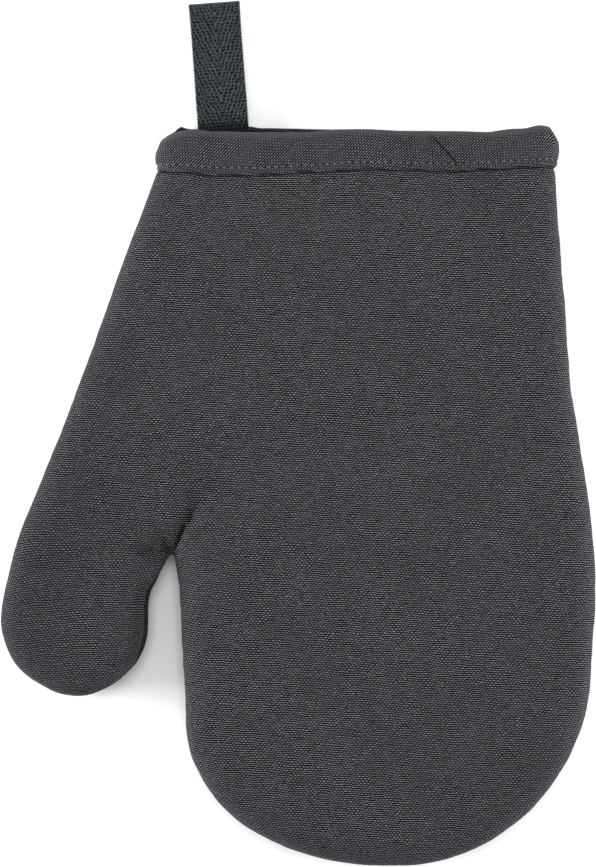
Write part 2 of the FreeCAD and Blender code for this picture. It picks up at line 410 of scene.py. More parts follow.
def ring_faces(rows, count, first=0, closed=False):
    """Faces between rows of rings of count points, from point first; closed joins the last row to row 0."""
    faces = []
    for r in range(rows if closed else rows - 1):
        here = first + r * count
        following = first + (r + 1) % rows * count
        for i in range(count):
            j = (i + 1) % count
            faces.append((here + i, following + i, following + j, here + j))
    return faces


def within(points, polygon):
    """Which points lie inside a closed polygon."""
    odd = np.zeros(len(points), bool)
    for (ax, ay), (bx, by) in zip(polygon, np.roll(polygon, -1, axis=0)):
        if ay != by:
            crosses = (ay > points[:, 1]) != (by > points[:, 1])
            odd ^= crosses & (points[:, 0] < ax + (points[:, 1] - ay) / (by - ay) * (bx - ax))
    return odd


CROTCH = np.array([-48.0, -45.0])
DRAWN = 0.10  # share by which the cloth is gathered round the crotch
DRAWN_REACH = 17.0
SWING = 0.0022  # how fast its grain turns towards the thumb's tip
SWING_X = -62.0  # where that turn begins
FOLD_ZONE = 4.5  # the mesh is finer this near a crease
SLIT_ZONE = 1.3  # and follows the crease itself this near
CHUNK = 2000  # points measured at a time


def grain(points):
    """The flat cloth under each point: finer round the crotch, and turned along the thumb."""
    away = points - CROTCH
    drawn = away * DRAWN * np.exp(-(np.linalg.norm(away, axis=1) / DRAWN_REACH) ** 2)[:, None]
    past = np.maximum(SWING_X - points[:, 0], 0)
    turned = SWING * past ** 2 * smooth((-15 - points[:, 1]) / 45)
    return points + drawn + np.c_[np.zeros(len(points)), turned]


class Flat:
    """A triangulated mitten shape: rings that follow the outline, and a grid inside them."""

    def __init__(self, step, turn_step, rings, grid, fold_grid=None):
        edge, normal = outline_path(step, turn_step)
        self.profile = Profile(rings)
        count = len(edge)
        lines = [edge - normal * (EDGE * k / rings) for k in range(rings + 1)]
        for line in lines:
            line[[0, -1], 1] = MOUTH_Y
        xs = np.arange(-120, 120, grid)
        ys = np.arange(MOUTH_Y - grid, -170, -grid * 0.87)
        inner = np.array([(x + (j % 2) * grid / 2, y) for j, y in enumerate(ys) for x in xs])
        if fold_grid:
            inner = np.r_[inner[self.fold_distance(inner) > FOLD_ZONE], self.fold_points(fold_grid)]
        inner = inner[self.inside(inner, edge, normal) > EDGE + 0.5 * (fold_grid or grid)]
        row = np.arange(edge[-1, 0] + EDGE + grid, edge[0, 0] - EDGE - grid / 2, grid)
        first_row = count * len(lines)
        spots = np.concatenate([*lines, np.c_[row, np.full(len(row), MOUTH_Y)], inner])
        extra = len(spots) - first_row
        loop = list(range(count))
        loop += [k * count + count - 1 for k in range(1, rings + 1)]
        loop += list(range(first_row, first_row + len(row)))
        loop += [k * count for k in range(rings, 0, -1)]
        sides = list(zip(loop, loop[1:] + loop[:1]))
        found = delaunay_2d_cdt([Vector(p) for p in spots], sides, [], 0, 1e-5, True)
        source = [ids[0] for ids in found[3]]
        self.points = spots[source]
        self.ring = np.r_[np.repeat(np.arange(rings + 1), count), np.full(extra, -1)][source]
        self.normal = np.r_[np.tile(normal, (rings + 1, 1)), np.zeros((extra, 2))][source]
        self.base = np.r_[np.tile(edge, (rings + 1, 1)), np.zeros((extra, 2))][source]
        self.triangles = np.array(found[2])
        self.triangles = self.triangles[within(self.points[self.triangles].mean(1), spots[loop])]
        a, b, c = (self.points[self.triangles[:, i]] for i in range(3))
        turn = (b[:, 0] - a[:, 0]) * (c[:, 1] - a[:, 1]) - (b[:, 1] - a[:, 1]) * (c[:, 0] - a[:, 0])
        self.triangles[turn < 0] = self.triangles[turn < 0][:, ::-1]
        self.inset = np.where(self.ring < 0, self.inside(self.points, edge, normal), 0)

    @staticmethod
    def fold_distance(points):
        """Distance to the nearest crease."""
        return np.min([np.abs(crease.place(points)[0]) for crease in CREASES], axis=0)

    @classmethod
    def fold_points(cls, grid):
        """A fine grid of points close to the creases."""
        x, y = np.meshgrid(np.arange(-80, -5, grid), np.arange(-60, 5, grid))
        fine = np.c_[x.ravel(), y.ravel()]
        gap = cls.fold_distance(fine)
        fine = fine[(gap < FOLD_ZONE) & (gap > SLIT_ZONE)]
        return np.concatenate([fine] + [crease.guide_points() for crease in CREASES])

    @staticmethod
    def inside(points, edge, normal):
        """Distance to the outline, negative outside it."""
        inset = np.zeros(len(points))
        for start in range(0, len(points), CHUNK):
            part = points[start:start + CHUNK]
            gap = part[:, None, :] - edge[None, :, :]
            far = np.linalg.norm(gap, axis=2)
            i = far.argmin(1)
            row = np.arange(len(part))
            out = (gap[row, i] * normal[i]).sum(1)
            inset[start:start + CHUNK] = far[row, i] * np.where(out > 0, -1, 1)
        return inset

    def surface(self, depth, front):
        """The draped surface that lies depth inside the outer cloth, and its flat cloth."""
        on_ring = self.ring >= 0
        k = np.where(on_ring, self.ring, 0)
        pr = self.profile
        hidden = depth > PANEL
        depth = pressed(depth, self.points[:, 1])
        inset = pr.inset[k] - depth * pr.normal_in[k]
        pinch = groove(pr.arc[k])
        inset = inset + (pinch + HIDDEN_INSET if hidden else np.maximum(pinch - depth, 0))
        xy = np.where(on_ring[:, None], self.base - self.normal * inset[:, None], self.points)
        half = half_thickness(xy[:, 0], xy[:, 1], front)
        share = np.where(on_ring, pr.height[k], 1 + dome(self.inset, front))
        drop = np.where(on_ring, depth * pr.normal_up[k], depth)
        z = np.maximum(half * share - drop, 0) * (1 if front else -1)
        roll = np.where(on_ring, seam_roll(self.base[:, 0], self.base[:, 1]), 0)
        inset, z = rolled(inset, z, pr.arc[k] / pr.arc[-1], roll)
        xy = np.where(on_ring[:, None], self.base - self.normal * inset[:, None], self.points)
        points = drape(np.c_[xy, SEAM_Z + z])
        flat_inset = EDGE - (pr.arc[-1] - pr.arc[k])
        uv = grain(np.where(on_ring[:, None], self.base - self.normal * flat_inset[:, None], self.points))
        if not front:
            uv = uv * np.array([-1, 1])
        return points, uv

    def shade(self, front):
        """How much shade is painted at each place, from 0 to 1: in the creases, and where the seam is rolled
        up.
        """
        k = np.where(self.ring >= 0, self.ring, self.profile.arc.size - 1)
        arc = self.profile.arc[k]
        seam = np.where(self.ring >= 0, seam_roll(self.base[:, 0], self.base[:, 1]) / SEAM_ROLL, 0)
        if not front:
            # Painted shade on the back's underside beside the rolled-up seam.
            return 0.8 * seam * (1 - smooth((arc - 2) / 4))
        # Painted shade along the rolled seam, wider over the thumb's inner side that turns from the light.
        rolled_seam_shade = seam * (1 - smooth((arc - 0.4) / 1.6)) + 0.38 * seam * (1 - smooth((arc - 4) / 9))
        return sum(crease.shade(self.points) for crease in CREASES) + rolled_seam_shade


def layer_solid(name, flat, top, bottom, front, fingers):
    """One layer of one side as a closed solid, for the fingers or for the rest of the mitt."""
    keep = flat.triangles[on_fingers(flat.points[flat.triangles].mean(1)) == fingers]
    used = np.unique(keep)
    index = np.full(len(flat.points), -1)
    index[used] = np.arange(len(used))
    keep = index[keep]
    outer, uv = flat.surface(top, front)
    inner, _ = flat.surface(bottom, front)
    count = len(used)
    if not front:
        keep = keep[:, ::-1]
    edges = dict.fromkeys(edge for a, b, c in keep for edge in ((a, b), (b, c), (c, a)))
    faces = keep.tolist() + (keep[:, ::-1] + count).tolist()
    rim = [(a, b) for a, b in edges if (b, a) not in edges]
    faces += [(b, a, a + count, b + count) for a, b in rim]
    points = np.r_[outer[used], inner[used]]
    # Painted shade from the creases and the rolled seam, carried to the material.
    painted_shade = np.clip(flat.shade(front)[used], 0, 1)
    obj = new_object(name, points, faces, np.r_[uv[used], uv[used]], np.r_[painted_shade, painted_shade])
    a, b, c = (uv[used][keep[:, i]] for i in range(3))
    cross = (b - a)[:, 0] * (c - a)[:, 1] - (b - a)[:, 1] * (c - a)[:, 0]
    spread = uv[used].max(0) - uv[used].min(0)
    return obj, spread * MM, abs(cross).sum() / 2 * MM * MM, outer, used


# ------------------------------------------------------------------ the padded layers
FINE = Flat(step=1.5, turn_step=0.1, rings=12, grid=2.5, fold_grid=0.9)
COARSE = Flat(step=3.4, turn_step=0.2, rings=6, grid=5.5)
LAYERS = [
    ("panel", FINE, 0.0, PANEL, "outer_cloth"),
    ("wadding", COARSE, PANEL + 0.35, PANEL + WADDING, "wadding"),
    ("lining", COARSE, PANEL + WADDING, THICK, "lining_cloth"),
]


def vertex_normals(points, triangles):
    """Smooth normals of a triangulated surface."""
    a, b, c = (points[triangles[:, i]] for i in range(3))
    face = np.cross(b - a, c - a)
    total = np.zeros_like(points)
    for i in range(3):
        np.add.at(total, triangles[:, i], face)
    return total / np.maximum(np.linalg.norm(total, axis=1, keepdims=True), 1e-9)


def padded_layers():
    """Every layer, front and back, cut into the fingers and the rest of the mitt."""
    made = {}
    for layer, flat, top, bottom, slot_name in LAYERS:
        for front in (True, False):
            side = "front" if front else "back"
            for fingers in (False, True):
                part = "fingers" if fingers else "hand_and_thumb"
                name = f"{side}_{layer}_{part}_cloth"
                obj, size, area, outer, used = layer_solid(name, flat, top, bottom, front, fingers)
                triangles = flat.triangles if front else flat.triangles[:, ::-1]
                normals = vertex_normals(outer, triangles)[used]
                obj.data.normals_split_custom_set_from_vertices(np.r_[normals, -normals].tolist())
                nodes = ["fingers"] if fingers else ["hand", "thumb"]
                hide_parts(*[f"{side}_{layer}_{n}" for n in nodes])
                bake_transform(obj)
                made[name] = obj
    return made


# ------------------------------------------------------------------ cuff
CUFF_PROFILE = Profile(9)
CUFF_COLUMNS = 160
STITCH_Y = BAND_Y + 2.3
STITCH_PITCH = 2.78
STITCH_DEPTH = -0.62
# The binding in section: Y, and depth inside the outer cloth, from the outer fold round the rim.
BINDING_OUTSIDE = [
    (BAND_Y + 1.3, 0.05), (BAND_Y + 0.3, -0.25), (BAND_Y, -0.62), (BAND_Y + 0.3, -1.00),
    (BAND_Y + 1.0, -1.10), (BAND_Y + 1.7, -0.95), (STITCH_Y, -0.62), (STITCH_Y + 0.6, -0.92),
    (STITCH_Y + 1.6, -1.12), (STITCH_Y + 3.6, -1.20), (STITCH_Y + 6.0, -1.15), (RIM_Y - 3.3, -1.02),
    (RIM_Y - 2.0, -0.76), (RIM_Y - 1.0, -0.30), (RIM_Y - 0.3, 0.55), (RIM_Y, 1.80), (RIM_Y, THICK - 1.6),
    (RIM_Y - 0.4, THICK - 0.35), (RIM_Y - 1.4, THICK + 0.75), (RIM_Y - 3.2, THICK + 1.15),
    (BAND_Y + 4.0, THICK + 1.20), (STITCH_Y, THICK + 0.95), (BAND_Y - 0.5, THICK + 1.15),
    (BAND_Y - 1.6, THICK + 0.60),
]
BINDING_INSIDE = [
    (BAND_Y - 1.3, THICK + 0.05), (BAND_Y + 4.0, THICK + 0.05), (MOUTH_Y - 0.9, THICK - 0.1),
    (MOUTH_Y - 0.5, THICK - 0.9), (MOUTH_Y - 0.5, 2.2), (MOUTH_Y - 1.6, 1.1), (MOUTH_Y - 3.6, 0.25),
    (BAND_Y + 4.0, 0.05),
]
STITCH_ROW = BINDING_OUTSIDE.index((STITCH_Y, STITCH_DEPTH))
FOLD_ROW = BINDING_OUTSIDE.index((RIM_Y - 0.3, 0.55))
BINDING_INSET = HIDDEN_INSET + 0.6  # how much further in its inner rows are than the outer cloth's groove
JOIN_X = 60.4  # where the strip's two ends are joined, at the stitch line
JOIN_SLOPE = 0.93
JOIN_RIDGE = (0.45, 1.1, 1.1)  # height, place past the join and width, in mm
JOIN_DIP = (-0.35, -0.3, 0.5)
MOUTH_SHADE = 0.5


def cuff_ring(y, depth):
    """A closed ring of points round the cuff, from the right seam over the front."""
    pr = CUFF_PROFILE
    press = pressed(depth, y)
    kept_in = (groove(pr.arc) + BINDING_INSET) * smooth((depth - 0.5) / 1.5)
    inset = pr.inset - press * pr.normal_in + kept_in
    halves = []
    for front in (True, False):
        right = CUFF_RIGHT - inset
        left = CUFF_LEFT + inset
        middle = np.linspace(right[-1], left[-1], CUFF_COLUMNS + 2)[1:-1]
        x = np.r_[right, middle, left[::-1]]
        crown = 1 + dome(np.minimum(CUFF_RIGHT - middle, middle - CUFF_LEFT), front)
        share = np.r_[pr.height, crown, pr.height[::-1]]
        up = np.r_[pr.normal_up, np.ones(CUFF_COLUMNS), pr.normal_up[::-1]]
        z = np.maximum(half_thickness(x, y, front) * share - press * up, 0)
        halves.append(np.c_[x, np.full(len(x), y), SEAM_Z + z if front else SEAM_Z - z])
    return np.r_[halves[0], halves[1][::-1][1:-1]]


def cuff_binding():
    """The bias strip folded over the rim, all round the mouth."""
    rows = BINDING_OUTSIDE + BINDING_INSIDE
    rings = [cuff_ring(y, depth) for y, depth in rows]
    count = len(rings[0])
    along = lengths(drape(cuff_ring(STITCH_Y, STITCH_DEPTH)))
    points = []
    for (y, depth), ring in zip(rows, rings):
        shaped = ring.copy()
        outside = depth < -0.3
        front = ring[:, 2] > SEAM_Z
        seam = (ring[:, 0] - JOIN_X + (y - STITCH_Y) * JOIN_SLOPE) * front
        if outside:
            # Where the strip's two ends are joined, a slanting step crosses the front.
            for height, past, width in (JOIN_RIDGE, JOIN_DIP):
                shaped[:, 2] += front * height * np.exp(-((seam - past) / width) ** 2)
            if STITCH_Y + 1 < y < RIM_Y - 2:
                place = np.c_[along[:count], np.full(count, y), np.zeros(count)]
                shaped[:, 2] += front * ripple(place, BAND_PUFF)
        points.append(shaped)
    points = drape(np.concatenate(points)).reshape(len(rows), count, 3)
    middle = count // 4
    down = distances(points[:, middle])
    uv = np.stack(np.meshgrid(along[:count], down), axis=-1)
    faces = ring_faces(len(rows), count, closed=True)
    # Painted shade on the rows of the binding inside the mouth.
    mouth = np.repeat([MOUTH_SHADE * (depth > THICK - 1) for _, depth in rows], count)
    obj = new_object("cuff_bias_binding", points.reshape(-1, 3), faces, uv.reshape(-1, 2), mouth)
    close_strip_uv(obj, count, along[-1], down)
    stitched = rings[STITCH_ROW]
    front_part = np.flatnonzero(stitched[:, 2] > SEAM_Z)
    order = front_part[np.argsort(stitched[front_part, 0])]
    join = np.interp(JOIN_X, stitched[order, 0], along[order])
    strip_size = (down[len(BINDING_OUTSIDE) - 1], along[-1])
    return obj, strip_size, join, down[STITCH_ROW], down[FOLD_ROW]


def close_strip_uv(obj, count, around, down):
    """Lets the cloth's coordinates run on over the two places where the strip meets itself."""
    layer = obj.data.uv_layers["cloth"].data
    rows = len(down)
    end = down[-1] + (down[-1] - down[-2])
    for polygon in obj.data.polygons:
        r, i = divmod(polygon.index, count)
        for loop in polygon.loop_indices:
            vertex = obj.data.loops[loop].vertex_index
            if i == count - 1 and vertex % count == 0:
                layer[loop].uv[0] = around
            if r == rows - 1 and vertex // count == 0:
                layer[loop].uv[1] = end


THREAD_SIDES = 6
ROUND_THREAD = [(math.cos(a), math.sin(a)) for a in np.arange(THREAD_SIDES) * 2 * math.pi / THREAD_SIDES]
# A stitch: place along it and girth there, as shares.
STITCH_SWELL = [(-0.46, 0.55), (-0.3, 0.95), (0.0, 1.0), (0.3, 0.95), (0.46, 0.55)]


def stitches(name, node, places, length, width, height):
    """Many rounded stitches as one piece. Each place is a centre, a direction and the cloth's normal."""
    points, faces = [], []
    for centre, along, up in places:
        side = np.cross(up, along)
        first = len(points)
        for t, swell in STITCH_SWELL:
            for c, s in ROUND_THREAD:
                points.append(centre + along * t * length + (side * c * width + up * s * height) * swell / 2)
        faces += ring_faces(len(STITCH_SWELL), THREAD_SIDES, first)
        faces.append(tuple(range(first, first + THREAD_SIDES)))
        faces.append(tuple(range(len(points) - THREAD_SIDES, len(points)))[::-1])
    points = np.array(points)
    obj = new_object(name, points, faces, points[:, :2])
    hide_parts(node)
    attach(obj, "hand")
    return obj


def cuff_stitching():
    """One line of top-stitching round the binding, just above its lower edge."""
    ring = drape(cuff_ring(STITCH_Y, STITCH_DEPTH))
    above = drape(cuff_ring(STITCH_Y + 1.0, STITCH_DEPTH))
    closed = np.r_[ring, ring[:1]]
    far = lengths(ring)
    places = []
    for s in np.arange(0, far[-1] - STITCH_PITCH / 2, STITCH_PITCH):
        i = int(np.searchsorted(far, s, "right")) - 1
        t = (s - far[i]) / (far[i + 1] - far[i])
        at = closed[i] + (closed[i + 1] - closed[i]) * t
        along = unit(closed[i + 1] - closed[i])
        up = unit(np.cross(above[i] - ring[i], along))
        if up @ (at - np.array([at[0] * 0.6 + 9, at[1], SEAM_Z])) < 0:
            up = -up
        places.append((at - up * 0.04, along, up))
    return stitches("cuff_top_stitches", "cuff_stitching", places, length=1.1, width=0.5, height=0.42)


# ------------------------------------------------------------------ perimeter seam
SEAM_INSET = 2.1
SEAM_END_Y = MOUTH_Y - 5.0
SEAM_THREAD = 0.3  # the thread's radius


def seam_threads():
    """The thread deep in the groove between the front and back panels."""
    edge, normal = outline_path(1.5, 0.1)
    inset, rise = rolled(SEAM_INSET, 0.0, 0.0, seam_roll(edge[:, 0], edge[:, 1]))
    line = edge - normal * inset[:, None]
    made = []
    for fingers in (False, True):
        points, faces = [], []
        chosen = np.flatnonzero((on_fingers(line) == fingers) & (line[:, 1] <= SEAM_END_Y))
        for run in np.split(chosen, np.flatnonzero(np.diff(chosen) > 1) + 1):
            faces += [face[::-1] for face in ring_faces(len(run), THREAD_SIDES, len(points))]
            for i in run:
                for c, s in ROUND_THREAD:
                    spot = line[i] + normal[i] * c * SEAM_THREAD
                    points.append((*spot, SEAM_Z + rise[i] + s * SEAM_THREAD))
        points = drape(points)
        name = "seam_stitching_fingers" if fingers else "seam_stitching_hand_and_thumb"
        obj = new_object(name, points, faces, points[:, :2])
        nodes = ["fingers"] if fingers else ["hand", "thumb"]
        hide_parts(*[f"seam_thread_{n}" for n in nodes])
        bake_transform(obj)
        made.append(obj)
    return made


# ------------------------------------------------------------------ hanging loop
HINGE = np.array([LOOP_X, 116.6])
LOOP_ALONG = np.array([-math.sin(LOOP_LEAN), math.cos(LOOP_LEAN)])
LOOP_ACROSS = np.array([math.cos(LOOP_LEAN), math.sin(LOOP_LEAN)])
# The tape's middle line in side view: distance past the hinge and height, from the lower end.
TAPE_ROUTE = [
    (-11.5, 6.35), (-6.0, 6.35), (-1.5, 6.4), (2.5, 5.6), (8.0, 3.3), (15.0, 1.35), (23.0, 0.7),
    (33.0, 0.62), (42.6, 0.66), (46.8, 1.15), (48.6, 2.9), (47.8, 4.9), (44.1, 5.75), (37.0, 5.9),
    (27.0, 6.2), (18.0, 6.9), (9.0, 7.4), (2.0, 7.6), (-3.0, 7.55), (-11.5, 7.52),
]
SELVEDGE_PITCH = 1.27  # the weft's turns along the tape's edges
HALF_TAPE = TAPE_WIDTH / 2
# The tape's upper half in section: thicker selvedges and a flat middle.
SELVEDGE = [(-9.42, 0.42), (-9.05, 0.56), (-8.3, 0.5)]
TAPE_TOP = [*SELVEDGE, *[(x, 0.48) for x in np.linspace(-7, 7, 15)], *[(-x, h) for x, h in SELVEDGE[::-1]]]
TAPE_SECTION = [(-HALF_TAPE, 0.0), *TAPE_TOP, (HALF_TAPE, 0.0), *[(x, -h) for x, h in TAPE_TOP[::-1]]]
TURN_BULGE = 0.28  # how far the weft's turns stand out at the edges
TACK_ROWS = (-10.2, -5.4)  # past the hinge
TACK_COUNT = 6
TACK_Z = 8.12


def spline(route, step):
    """Points evenly spaced along a smooth curve through a route."""
    route = np.array(route, float)
    padded = np.r_[[2 * route[0] - route[1]], route, [2 * route[-1] - route[-2]]]
    fine = []
    for i in range(len(route) - 1):
        a, b, c, d = padded[i:i + 4]
        for t in np.linspace(0, 1, 24, endpoint=False):
            fine.append(0.5 * (2 * b + (c - a) * t + (2 * a - 5 * b + 4 * c - d) * t ** 2
                               + (3 * b - a - 3 * c + d) * t ** 3))
    fine.append(route[-1])
    fine = np.array(fine)
    far = distances(fine)
    at = np.linspace(0, far[-1], int(far[-1] / step) + 1)
    return np.c_[np.interp(at, far, fine[:, 0]), np.interp(at, far, fine[:, 1])], at


def hanging_tape():
    """One length of tape folded in half, its ends inside the mouth."""
    line, far = spline(TAPE_ROUTE, SELVEDGE_PITCH / 4)
    tangent = np.gradient(line, axis=0)
    tangent /= np.linalg.norm(tangent, axis=1, keepdims=True)
    up = np.c_[-tangent[:, 1], tangent[:, 0]]
    count = len(TAPE_SECTION)
    points, uv = [], []
    for i, (u, z) in enumerate(line):
        wave = 0.22 * noise.noise(Vector((far[i] / 14, 2.3, 0)))
        turn = TURN_BULGE * math.cos(2 * math.pi * far[i] / SELVEDGE_PITCH)
        for x, h in TAPE_SECTION:
            edge_wave = wave * (1 if x > 0 else -0.8)
            bump = turn * math.copysign(1, x) * (abs(x) / HALF_TAPE) ** 9
            across = x * 1.005 + edge_wave * 0.8 + bump
            flat = HINGE + LOOP_ALONG * (u + up[i, 0] * h) + LOOP_ACROSS * across
            lift = 0.25 * noise.noise(Vector((x / 9, u / 16, far[i] / 60)))
            lift *= smooth((u - 4) / 12)
            height = max(z + up[i, 1] * h + lift, 0.06)
            points.append((flat[0], flat[1], height))
            uv.append((x, far[i]))
    faces = ring_faces(len(line), count)
    faces.append(tuple(range(count)))
    faces.append(tuple(range((len(line) - 1) * count, len(line) * count))[::-1])
    reach = np.repeat(line[:, 0], count)
    # Painted shadow on the tape near its ends, inside the mouth.
    root_shadow = 0.95 * (1 - smooth((reach + 0.5) / 6.0))
    obj = new_object("hanging_loop_tape", np.array(points), faces, np.array(uv), root_shadow)
    return obj, far[-1]


def tape_tack():
    """Two rows of stitches through the tape's ends."""
    places = []
    for row in TACK_ROWS:
        for i in range(TACK_COUNT):
            spot = HINGE + LOOP_ALONG * row + LOOP_ACROSS * (i - (TACK_COUNT - 1) / 2) * STITCH_PITCH
            places.append((np.r_[spot, TACK_Z], np.r_[LOOP_ACROSS, 0], np.array([0, 0, 1.0])))
    return stitches("loop_tack_stitches", "loop_tack", places, length=2.0, width=0.6, height=0.5)


# ------------------------------------------------------------------ materials
WARP_PITCH = 0.692
WEFT_PITCH = 0.815
CLOTH_TURN = -3.4  # degrees that the weave is turned on the panels
CLOTH_DARK = (0.0010, 0.0011, 0.0014)
CLOTH_LIGHT = (0.163, 0.165, 0.177)
CLOTH_SHEEN = 0.13
WEAVE_DEPTH = 0.22
LINING_PITCH = 0.42
LINING_DARK = (0.016, 0.017, 0.019)
LINING_LIGHT = (0.17, 0.174, 0.188)


class Maths:
    """Builds shader maths from ordinary expressions on node sockets."""

    def __init__(self, tree, socket):
        self.tree = tree
        self.socket = socket

    def op(self, kind, *others):
        node = self.tree.nodes.new("ShaderNodeMath")
        node.operation = kind
        for i, value in enumerate((self, *others)):
            if isinstance(value, Maths):
                self.tree.links.new(value.socket, node.inputs[i])
            else:
                node.inputs[i].default_value = value
        return Maths(self.tree, node.outputs[0])

    def held(self):
        """Kept from 0 to 1."""
        return self.least(1.0).most(0.0)

    def hump(self):
        """1 where this is 0, falling to 0 at 1 either way."""
        return self * self * -1.0 + 1.0

    def centred(self):
        """Place between two whole numbers, from -1 to 1."""
        return (self.fract() - 0.5) * 2.0

    def swap(self, a, b):
        """a where this is 0, b where it is 1."""
        return (b - a) * self + a

    def towards(self, target, share):
        """Mixed with a number by a share."""
        return self + (self * -1.0 + target) * share


for method, kind in [
    ("__add__", "ADD"), ("__sub__", "SUBTRACT"), ("__mul__", "MULTIPLY"), ("__truediv__", "DIVIDE"),
    ("floor", "FLOOR"), ("fract", "FRACT"), ("abs", "ABSOLUTE"), ("power", "POWER"),
    ("least", "MINIMUM"), ("most", "MAXIMUM"), ("above", "GREATER_THAN"),
]:
    setattr(Maths, method, partialmethod(Maths.op, kind))


def node_of(tree, kind, **settings):
    """A new shader node with its settings."""
    node = tree.nodes.new(kind)
    for name, value in settings.items():
        setattr(node, name, value)
    return node


def cloth_axes(tree, turn=0.0):
    """The flat cloth's two coordinates in mm, turned by an angle in degrees."""
    uv = node_of(tree, "ShaderNodeUVMap", uv_map="cloth")
    split = node_of(tree, "ShaderNodeSeparateXYZ")
    tree.links.new(uv.outputs[0], split.inputs[0])
    u, v = Maths(tree, split.outputs[0]), Maths(tree, split.outputs[1])
    if turn:
        c, s = math.cos(math.radians(turn)), math.sin(math.radians(turn))
        return u * c + v * s, v * c - u * s
    return u, v


def joined(tree, x, y, z=0.0):
    """A vector from three values."""
    node = node_of(tree, "ShaderNodeCombineXYZ")
    for i, value in enumerate((x, y, z)):
        if isinstance(value, Maths):
            tree.links.new(value.socket, node.inputs[i])
        else:
            node.inputs[i].default_value = value
    return node.outputs[0]


def noise_of(tree, vector, scale, detail=2.0, rough=0.5):
    """Noise from 0 to 1 on a vector."""
    node = node_of(tree, "ShaderNodeTexNoise", noise_dimensions="3D")
    tree.links.new(vector, node.inputs["Vector"])
    node.inputs["Scale"].default_value = scale
    node.inputs["Detail"].default_value = detail
    node.inputs["Roughness"].default_value = rough
    return Maths(tree, node.outputs["Fac"])


def wobble(tree, x, y, seed, scale, detail=1.0):
    """Noise about 0 on two values."""
    return noise_of(tree, joined(tree, x, y, seed), scale, detail) - 0.5


def random_of(tree, vector):
    """A different number from 0 to 1 for each whole-number vector."""
    node = node_of(tree, "ShaderNodeTexWhiteNoise", noise_dimensions="3D")
    tree.links.new(vector, node.inputs["Vector"])
    return Maths(tree, node.outputs["Value"])


SHEEN_TINT = (0.62, 0.64, 0.70, 1)
SHEEN_ROUGHNESS = 0.43


def start_material(name, roughness, sheen):
    """An empty fabric material with no gloss: its tree and its shader."""
    material = bpy.data.materials.new(name)
    material.use_nodes = True
    shader = material.node_tree.nodes["Principled BSDF"]
    shader.inputs["Roughness"].default_value = roughness
    shader.inputs["Specular IOR Level"].default_value = 0.0
    shader.inputs["Sheen Weight"].default_value = sheen
    shader.inputs["Sheen Roughness"].default_value = SHEEN_ROUGHNESS
    shader.inputs["Sheen Tint"].default_value = SHEEN_TINT
    return material, material.node_tree, shader


def tint(tree, shader, value, dark, light):
    """Colours the shader from dark to light by a value, kept from 0 to 1."""
    mix = node_of(tree, "ShaderNodeMix", data_type="RGBA")
    tree.links.new(value.held().socket, mix.inputs["Factor"])
    mix.inputs["A"].default_value = (*dark, 1)
    mix.inputs["B"].default_value = (*light, 1)
    tree.links.new(mix.outputs["Result"], shader.inputs["Base Color"])


def emboss(tree, shader, height, depth, strength=0.6):
    """Bumps the shader by a height from 0 to 1, worth depth in mm."""
    bump = node_of(tree, "ShaderNodeBump")
    bump.inputs["Distance"].default_value = depth * MM
    bump.inputs["Strength"].default_value = strength
    tree.links.new(height.socket, bump.inputs["Height"])
    tree.links.new(bump.outputs[0], shader.inputs["Normal"])


def painted_shade_of(tree):
    """How much shade is painted on the surface here, from 0 to 1."""
    node = node_of(tree, "ShaderNodeAttribute", attribute_name="painted_shade")
    return Maths(tree, node.outputs["Fac"])


def bell(offset, width):
    """1 where offset is 0, falling to nothing at about twice the width."""
    return ((offset / width).abs().least(2.0) * 0.5).hump().power(3.0)


def weave_tone(tree, u, v, pitch_u, pitch_v, uneven=1.0, contrast=(0.54, 0.34), gap=4.9):
    """Plain weave: how light each thread is, and how high, with every yarn a little different."""
    bend_u = wobble(tree, u, v, 0.0, 0.16, 2.0)
    bend_v = wobble(tree, v, u, 7.0, 0.16, 2.0)
    jitter_u = wobble(tree, u, v, 3.0, 0.75)
    jitter_v = wobble(tree, u, v, 11.0, 0.55)
    across = u / pitch_u + (bend_u * 1.4 + jitter_u) * uneven
    along = v / pitch_v + (bend_v * 1.4 + jitter_v * 0.6) * uneven
    cell_u, cell_v = across.floor(), along.floor()
    odd = ((cell_u + cell_v) * 0.5).fract() * 2.0
    hump_u = across.centred().hump()
    hump_v = along.centred().hump()
    over = (odd * 2.0 - 1.0) * hump_u
    firm = noise_of(tree, joined(tree, u, v, 5.0), 0.45, 1.0)
    warp_yarn = noise_of(tree, joined(tree, cell_u * 7.31, along * 0.22, 1.0), 1.0, 2.0)
    weft_yarn = noise_of(tree, joined(tree, across * 0.22, cell_v * 5.73, 9.0), 1.0, 2.0)
    yarn = odd.swap(warp_yarn, weft_yarn)
    speck = random_of(tree, joined(tree, cell_u, cell_v, 3.0))
    blotch = noise_of(tree, joined(tree, u, v), 0.035, 3.0, 0.6)
    mean, swing = contrast
    tone = (hump_v.power(gap) * (over * firm * (swing * 2.0) + mean) * (yarn * 1.2 + 0.4)
            * (speck * 0.5 + 0.75) * (blotch * 0.3 + 0.85))
    height = (hump_v * hump_u * 0.6 + over * hump_v * 0.4) * (yarn * 0.6 + 0.7)
    return tone, height


